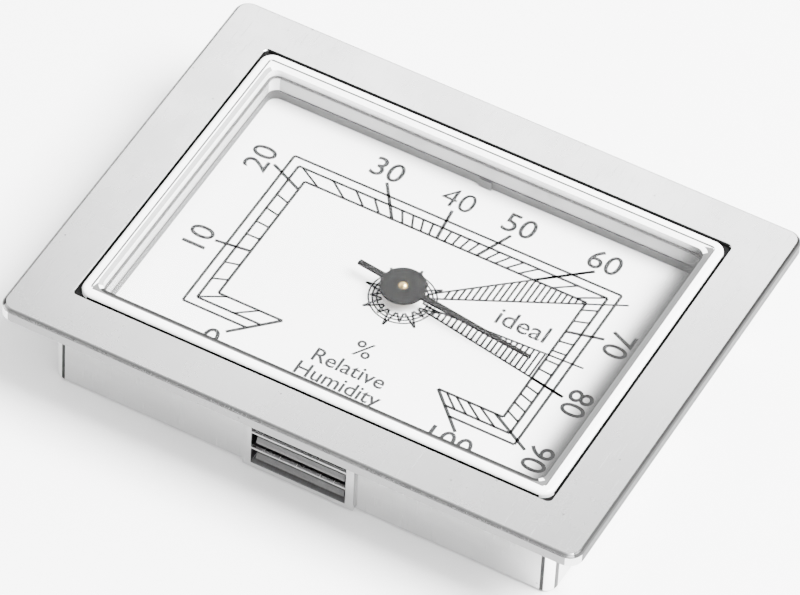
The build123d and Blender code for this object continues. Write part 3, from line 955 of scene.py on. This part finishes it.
def outline_at(half, corner, outwards, height):
    return rounded_rectangle(half.x + outwards, half.y + outwards, corner + outwards, height)


rim_rounding = Vector((0.45, 0.35)) * MM     # inwards and down
rim_land, rim_shoulder = 0.85 * MM, 1.0 * MM  # ends of the flat top and of the groove beside it
rim_slope = 0.27 * MM                        # how far the pane's slope drops


def crystal_rim():
    top, foot = crystal_high.z, surround_high.z
    loops = [outline_at(crystal_half, crystal_corner, 0, foot)]
    loops.append(outline_at(crystal_half, crystal_corner, 0, top - rim_rounding.y - holding_gap))
    loops += [
        outline_at(crystal_half, crystal_corner, -inwards * rim_rounding.x, top + drop * rim_rounding.y)
        for inwards, drop in quarter_round(1.0, 6)
    ]
    for inwards, drop in ((rim_land, 0), (rim_land + 0.5 * groove, groove), (rim_shoulder, groove)):
        loops.append(outline_at(crystal_half, crystal_corner, -inwards, top - drop))
    sight = [
        (0.45 * MM, top - 0.5 * rim_slope), (0, top - rim_slope), (0, pane_under),
        (0, foot + groove), (groove, foot),
    ]
    loops += [outline_at(sight_half, sight_corner, outwards, z) for outwards, z in sight]
    return skin("crystal_rim", loops)


def in_groove(point):
    """Whether a point lies in the fine groove round the rim's flat top."""
    inwards = crystal_half - Vector((abs(point.x), abs(point.y)))
    hair = 0.01 * MM
    return rim_land - hair < min(inwards) < rim_shoulder - hair and point.z > pane_under


def lip(name, reach, low, high):
    """A narrow step round the sight opening."""
    loops = [
        outline_at(sight_half, sight_corner, -outwards, z)
        for outwards, z in ((0, low), (0, high), (reach, high), (reach, low))
    ]
    return skin(name, loops)


def on_slope(point, inner):
    """The inner or the outer half of the slope that leads down to the clear pane."""
    inwards = crystal_half - Vector((abs(point.x), abs(point.y)))
    drop = crystal_high.z - point.z
    low, high = (0.19, 0.25) if inner else (0.09, 0.15)
    return min(inwards) > rim_shoulder - face_slack and low * MM < drop < high * MM


def crystal_pane():
    edge = 0.01 * MM
    heights = (pane_under, crystal_high.z - 0.3 * MM)
    return skin(
        "crystal_pane", [outline_at(sight_half, sight_corner, -edge, z) for z in heights], False
    )


def surround():
    low, high = surround_low.z, surround_high.z
    outer_half = Vector((surround_high.x, surround_high.y))
    section = [(0, low), (0, high - groove), (groove, high - 0.01 * MM)]
    loops = [outline_at(outer_half, crystal_corner, 0, low)]
    loops.append(outline_at(outer_half, crystal_corner, 0, high - 0.01 * MM))
    loops += [
        outline_at(sight_half, sight_corner, outwards, z) for outwards, z in reversed(section)
    ]
    nib_half, nib_reach = 0.7 * MM, 0.25 * MM
    back = sight_half.y
    nib_outline = [
        (back + nib_reach, low), (back - nib_reach, low),
        (back - nib_reach, high - 0.1 * MM), (back + nib_reach, high - 0.1 * MM),
    ]
    nib = extruded("nib", nib_outline, nib_half)
    return joined("surround", [skin("surround_ring", loops), nib])


rim = crystal_rim()
dress(rim, crystal_white, "case", "crystal_clear", "crystal_window")
# Painted shade: the crystal's outer wall is blackened inside the gap.
coat_where(
    rim, seal_black,
    lambda p: in_slot(p, crystal_half) and p.z < crystal_high.z - rim_rounding.y,
)
# Painted shade in the groove and on the skirt's inner wall.
coat_where(rim, lip_painted_shade, in_groove)
coat_where(rim, skirt_painted_shade, lambda p: in_slot(p, sight_half) and p.z < pane_under)
# Grey strips of painted shade on the slope, on three sides.
for finish, side, inner in (
    (slope_painted_soft_shade, "left", True), (slope_painted_shade, "right", False), (slope_painted_shade, "right", True),
    (slope_painted_shade, "front", False), (slope_painted_dark_shade, "front", True),
):
    sight = sight_half.y if side == "front" else sight_half.x
    coat_where(rim, finish, lambda p: wall_facing[side].dot(p) > sight and on_slope(p, inner))
# The lips are dark steps that paint shade under the pane and at the skirt's foot.
lips = joined("crystal_lips", [
    lip("pane_lip", 0.30 * MM, pane_under - 0.09 * MM, pane_under - 0.01 * MM),
    lip("foot_lip", 0.12 * MM, surround_high.z - 0.02 * MM, surround_high.z + 0.06 * MM),
])
dress(lips, lip_painted_shade, "case", "crystal_clear", "crystal_window")
dress(softened("crystal_seal", "sealing_bead", 0.03 * MM), seal_black, "case", "seal_rubber",
      "crystal_seal")
dress(crystal_pane(), crystal_clear, "case", "crystal_clear", "crystal_window")
dress(surround(), surround_plastic, "case", "surround_plastic", "dial_surround")
print("sight opening:", [round(2 * side / MM, 1) for side in sight_half], "mm")

# %% [markdown]
# ## The printed scale
# The scale runs round three nested rectangles. Each mark points at the pivot, so a mark is found
# by sending a ray out at its angle until it meets a rectangle. All strokes are loose edges at
# first, and the stroke tree gives each its width and a hair's thickness of ink.

# %% Scale strokes
card_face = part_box("dial_card")[1].z
ink_thickness = 0.012 * MM
scale_angles = {
    0: 225, 10: 188, 20: 155, 30: 124.5, 40: 96, 50: 67.5,
    60: 41, 70: 15, 80: -10, 90: -30, 100: -45,
}
outer_frame, middle_frame, inner_frame, tick_limit = (
    (17.93, 10.93), (16.92, 9.93), (15.43, 8.43), (19.1, 12.4),
)
star_reach, star_ring = 4.0, 2.93


def scale_angle(percent):
    """The ray of a reading, shared out evenly between two numbered marks."""
    lower = min(10 * int(percent // 10), 90)
    share = (percent - lower) / 10
    return radians(scale_angles[lower] * (1 - share) + scale_angles[lower + 10] * share)


def on_frame(angle, half):
    """Where a ray from the pivot meets a rectangle of these half sides."""
    reach = min(half[0] / max(abs(cos(angle)), 1e-6), half[1] / max(abs(sin(angle)), 1e-6))
    return (reach * cos(angle), reach * sin(angle))


def on_circle(angle, radius):
    return (radius * cos(angle), radius * sin(angle))


def frame_path(half):
    """A rectangle that is open at the bottom, between the first and the last mark."""
    x, y = half
    start, end = on_frame(scale_angle(0), half), on_frame(scale_angle(100), half)
    corners = [start, (-x, -y), (-x, y), (x, y), (x, -y), end]
    return list(zip(corners, corners[1:]))


def ray(percent, start, end):
    """A mark on one ray, between two rectangles or from a circle to a rectangle."""
    angle = scale_angle(percent)
    inner = on_circle(angle, start) if isinstance(start, float) else on_frame(angle, start)
    return (inner, on_frame(angle, end))


def sector_hatching(upper, lower, pitch=0.58):
    """Lines parallel to the dial's side between two rays, out to the inner rectangle."""
    high, low = tan(scale_angle(upper)), tan(scale_angle(lower))
    half_x, half_y = inner_frame
    lines = []
    count = int((half_x - star_ring) / pitch)
    for i in range(1, count + 1):
        x = star_ring + i * pitch
        top, bottom = min(x * high, half_y), max(x * low, -half_y)
        if top > bottom:
            lines.append(((x, bottom), (x, top)))
    return lines


def stroke(name, segments, width):
    """Ink strokes of one width as a single printed piece."""
    mesh = bpy.data.meshes.new(name)
    level = card_face + ink_thickness / 2
    points = [(x * MM, y * MM, level) for segment in segments for x, y in segment]
    mesh.from_pydata(points, [(2 * i, 2 * i + 1) for i in range(len(segments))], [])
    return printed_strokes.grow(
        new_object(name, mesh), name, Width=width * MM, Thickness=ink_thickness, Material=dial_ink
    )


def print_on_dial(piece):
    dress(piece, dial_ink, "case", "dial_print")


rectangles = [outer_frame, middle_frame, inner_frame]
print_on_dial(stroke("scale_frames", sum(map(frame_path, rectangles), []), 0.30))
minor = [p for p in range(0, 101, 2) if p % 10]
print_on_dial(stroke("minor_marks", [ray(p, inner_frame, middle_frame) for p in minor], 0.25))
major = [ray(p, inner_frame, tick_limit) for p in range(0, 101, 10)]
print_on_dial(stroke("major_marks", major, 0.35))
bounds_of_comfort = [ray(p, 2.4, tick_limit) for p in (60, 65, 75, 80)]
hatching = sector_hatching(60, 65) + sector_hatching(75, 80)
print_on_dial(stroke("comfort_sectors", bounds_of_comfort + hatching, 0.24))

# %% [markdown]
# ## The star round the pivot
# A plain star of eight long and eight short points sits under the pointer's hub, with three thin
# rings behind it. One point is drawn, and the ring tree copies it round the pivot.

# %% Star
def star_point(reach, half_spread, foot):
    """One open point of the star: two edges that meet at its tip."""
    left, right = on_circle(half_spread, foot), on_circle(-half_spread, foot)
    return [(left, (reach, 0)), (right, (reach, 0))]


def ring_stroke(name, radius, width, sides=64):
    corners = [on_circle(2 * pi * i / sides, radius) for i in range(sides)]
    return stroke(name, list(zip(corners, corners[1:] + corners[:1])), width)


def centre_star():
    long_point = stroke("long_point", star_point(star_reach, radians(11), 2.0), 0.24)
    short_point = stroke("short_point", star_point(3.15, radians(9), 2.0), 0.21)
    short_point.data.transform(Matrix.Rotation(radians(22.5), 4, "Z"))
    points = [
        ring_of_copies.grow(point, "points", Count=8, Material=dial_ink)
        for point in (long_point, short_point)
    ]
    rings = [ring_stroke("ring", radius, 0.18) for radius in (2.5, 2.9, 3.3)]
    return joined("centre_star", points + rings)


print_on_dial(centre_star())

# %% [markdown]
# ## Numerals and words
# Numerals start as text objects. Each is made a mesh first, then centred on its place and turned
# to face its side of the dial. The words are generic: what is measured and in which unit.

# %% Lettering
def lettering(words, size, centre, turn=0.0, bolder=0.022):
    """Text as a thin mesh, its middle at centre (mm)."""
    curve = bpy.data.curves.new("lettering", "FONT")
    curve.body = words
    curve.size = size * MM
    curve.resolution_u = 4
    curve.extrude = ink_thickness / 2
    curve.offset = bolder * MM
    piece = baked(new_object("lettering", curve), "lettering")
    xs, ys = [v.co.x for v in piece.data.vertices], [v.co.y for v in piece.data.vertices]
    middle = Vector(((min(xs) + max(xs)) / 2, (min(ys) + max(ys)) / 2, 0))
    place = Vector((centre[0] * MM, centre[1] * MM, card_face + ink_thickness / 2))
    piece.data.transform(
        Matrix.Translation(place) @ Matrix.Rotation(radians(turn), 4, "Z")
        @ Matrix.Translation(-middle)
    )
    return piece


numeral_size, upper_row, lower_row, side_column = 3.55, 13.93, -13.8, 20.65
numerals = [
    ("30", (-9.17, upper_row), 0), ("40", (-1.4, upper_row), 0),
    ("50", (5.33, upper_row), 0), ("60", (14.6, upper_row), 0),
    ("20", (-side_column, 9.0), 90), ("10", (-side_column, -2.93), 90),
    ("70", (side_column, 5.1), -90), ("80", (side_column, -3.47), -90),
    ("90", (side_column, -11.4), -90),
    ("0", (-13.33, lower_row), 0), ("100", (12.5, lower_row), 0),
]
print_on_dial(joined(
    "numerals", [
        lettering(text, numeral_size, centre, turn, 0.0 if "4" in text else 0.032)
        for text, centre, turn in numerals
    ]
))
print_on_dial(joined("words", [
    lettering(text, size, centre, 0, bolder) for text, size, centre, bolder in (
        ("%", 2.9, (0, -7.73), 0.03), ("Relative", 2.45, (0, -10.5), 0.035),
        ("Humidity", 2.45, (0, -13.0), 0.035), ("ideal", 3.05, (11.6, 2.73), 0.03),
    )
]))
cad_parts["dial_card"].data.materials[0] = dial_print

# %% [markdown]
# ## The pointer and the turned parts
# The pointer is stamped from sheet and painted; the pivot's polished end shows through its hub as
# a bright dome. Behind the dial, the movement's turned and stamped parts keep the frame's shapes
# with their edges broken.

# %% Pointer and movement
dress(softened("pointer", "needle", 0), pointer_paint, "pointer_group", "pointer_paint",
      "pointer")

movement = (
    (brass_turned, "brass_turned", "pointer_group", ("pointer_arbor", "pointer_collet", "coil_collet")),
    (brass_turned, "brass_turned", "regulator", ("coil_anchor_post", "calibration_adjuster")),
    (brass_sheet, "brass_sheet", "regulator", ("regulator_arm",)),
    (brass_turned, "brass_turned", "case", ("front_bushing", "bridge_pillars")),
    (brass_sheet, "brass_sheet", "case", ("movement_bridge",)),
    (screw_steel, "screw_steel", "case", ("bridge_screws",)),
    (spring_steel, "spring_steel", "case", ("friction_washer",)),
    (plate_steel, "plate_steel", "case", ("mounting_plate",)),
)
for finish, slot, body, nodes in movement:
    for node in nodes:
        dress(softened(node, node + "_finished", 0.04 * MM), finish, body, slot, node)
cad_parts["humidity_coil"].data.materials[0] = coil_strip

# %% [markdown]
# ## The back
# A black moulded cover with four air vents, an adjuster hole with engraved index marks round it,
# and a screw in each corner. The marks are cut with a ring of small blocks from the ring tree.

# %% Back cover and screws
def cut(piece, cutter):
    """Takes the cutter's shape out of the piece."""
    boolean = piece.modifiers.new("cut", "BOOLEAN")
    boolean.operation, boolean.solver, boolean.object = "DIFFERENCE", "EXACT", cutter
    name = piece.name
    result = baked(piece, name)
    bpy.data.objects.remove(cutter)
    smooth(result.data)
    return result


def block(name, low, high):
    """A plain block, for cutting slots and marks and for filling marks."""
    outline = [(low[1], low[2]), (high[1], low[2]), (high[1], high[2]), (low[1], high[2])]
    piece = extruded(name, outline, (high[0] - low[0]) / 2)
    piece.data.transform(Matrix.Translation(((low[0] + high[0]) / 2, 0, 0)))
    return piece


def index_marks(name, low_z, high_z, spare):
    """Twelve short marks in a ring round the adjuster."""
    mark = block(
        name, (3.0 * MM - spare, -0.1 * MM - spare, low_z), (3.9 * MM + spare, 0.1 * MM + spare, high_z)
    )
    return ring_of_copies.grow(mark, name, Count=12, Material=index_white)


def cover_screw(low, high, head_radius):
    """A cheese-head screw: a lathe-turned head with a domed edge and one slot."""
    steps, head_height, shank_radius = 24, 0.45 * MM, 0.7 * MM
    edge = 0.1 * MM
    section = [
        (head_radius - edge, low), (head_radius, low + edge), (head_radius, low + head_height),
        (shank_radius, low + head_height), (shank_radius, high),
    ]
    loops = [
        [Vector((r * cos(2 * pi * i / steps), r * sin(2 * pi * i / steps), z)) for i in range(steps)]
        for r, z in section
    ]
    screw = skin("cover_screw", loops, False)
    reach, half_slot = 1.2 * head_radius, 0.18 * MM
    slot = block("slot", (-reach, -half_slot, low - edge), (reach, half_slot, low + 0.2 * MM))
    return cut(screw, slot)


def screws_in_corners():
    low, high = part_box("cover_screws")
    head_radius = 1.4 * MM
    far = Vector((high.x - head_radius, high.y - head_radius, 0))
    rows = row_of_copies.grow(
        cover_screw(low.z, high.z, head_radius), "screw_row",
        Count=2, Step=(2 * far.x, 0, 0), Material=screw_steel,
    )
    grid = row_of_copies.grow(
        rows, "corner_screws", Count=2, Step=(0, 2 * far.y, 0), Material=screw_steel
    )
    grid.data.transform(Matrix.Translation(-far))
    smooth(grid.data)
    return grid


cover_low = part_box("back_cover")[0]
mark_depth = 0.15 * MM
cover = cut(
    softened("back_cover", "rear_cover", 0.06 * MM),
    index_marks("mark_cutter", cover_low.z - mark_depth, cover_low.z + mark_depth, 0),
)
dress(cover, cover_black, "case", "cover_black", "back_cover")
marks = index_marks("index_marks", cover_low.z + mark_depth / 3, cover_low.z + mark_depth, -0.01 * MM)
dress(marks, index_white, "case", "cover_black")
dress(screws_in_corners(), screw_steel, "case", "screw_steel", "cover_screws")

# %% Print the sizes and finish
visual_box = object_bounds()
sizes = {"cad": [list(corner) for corner in cad_box], "visual": [list(corner) for corner in visual_box]}
for key, box in sizes.items():
    print(key, "box in mm:", [[round(c / MM, 2) for c in corner] for corner in box])
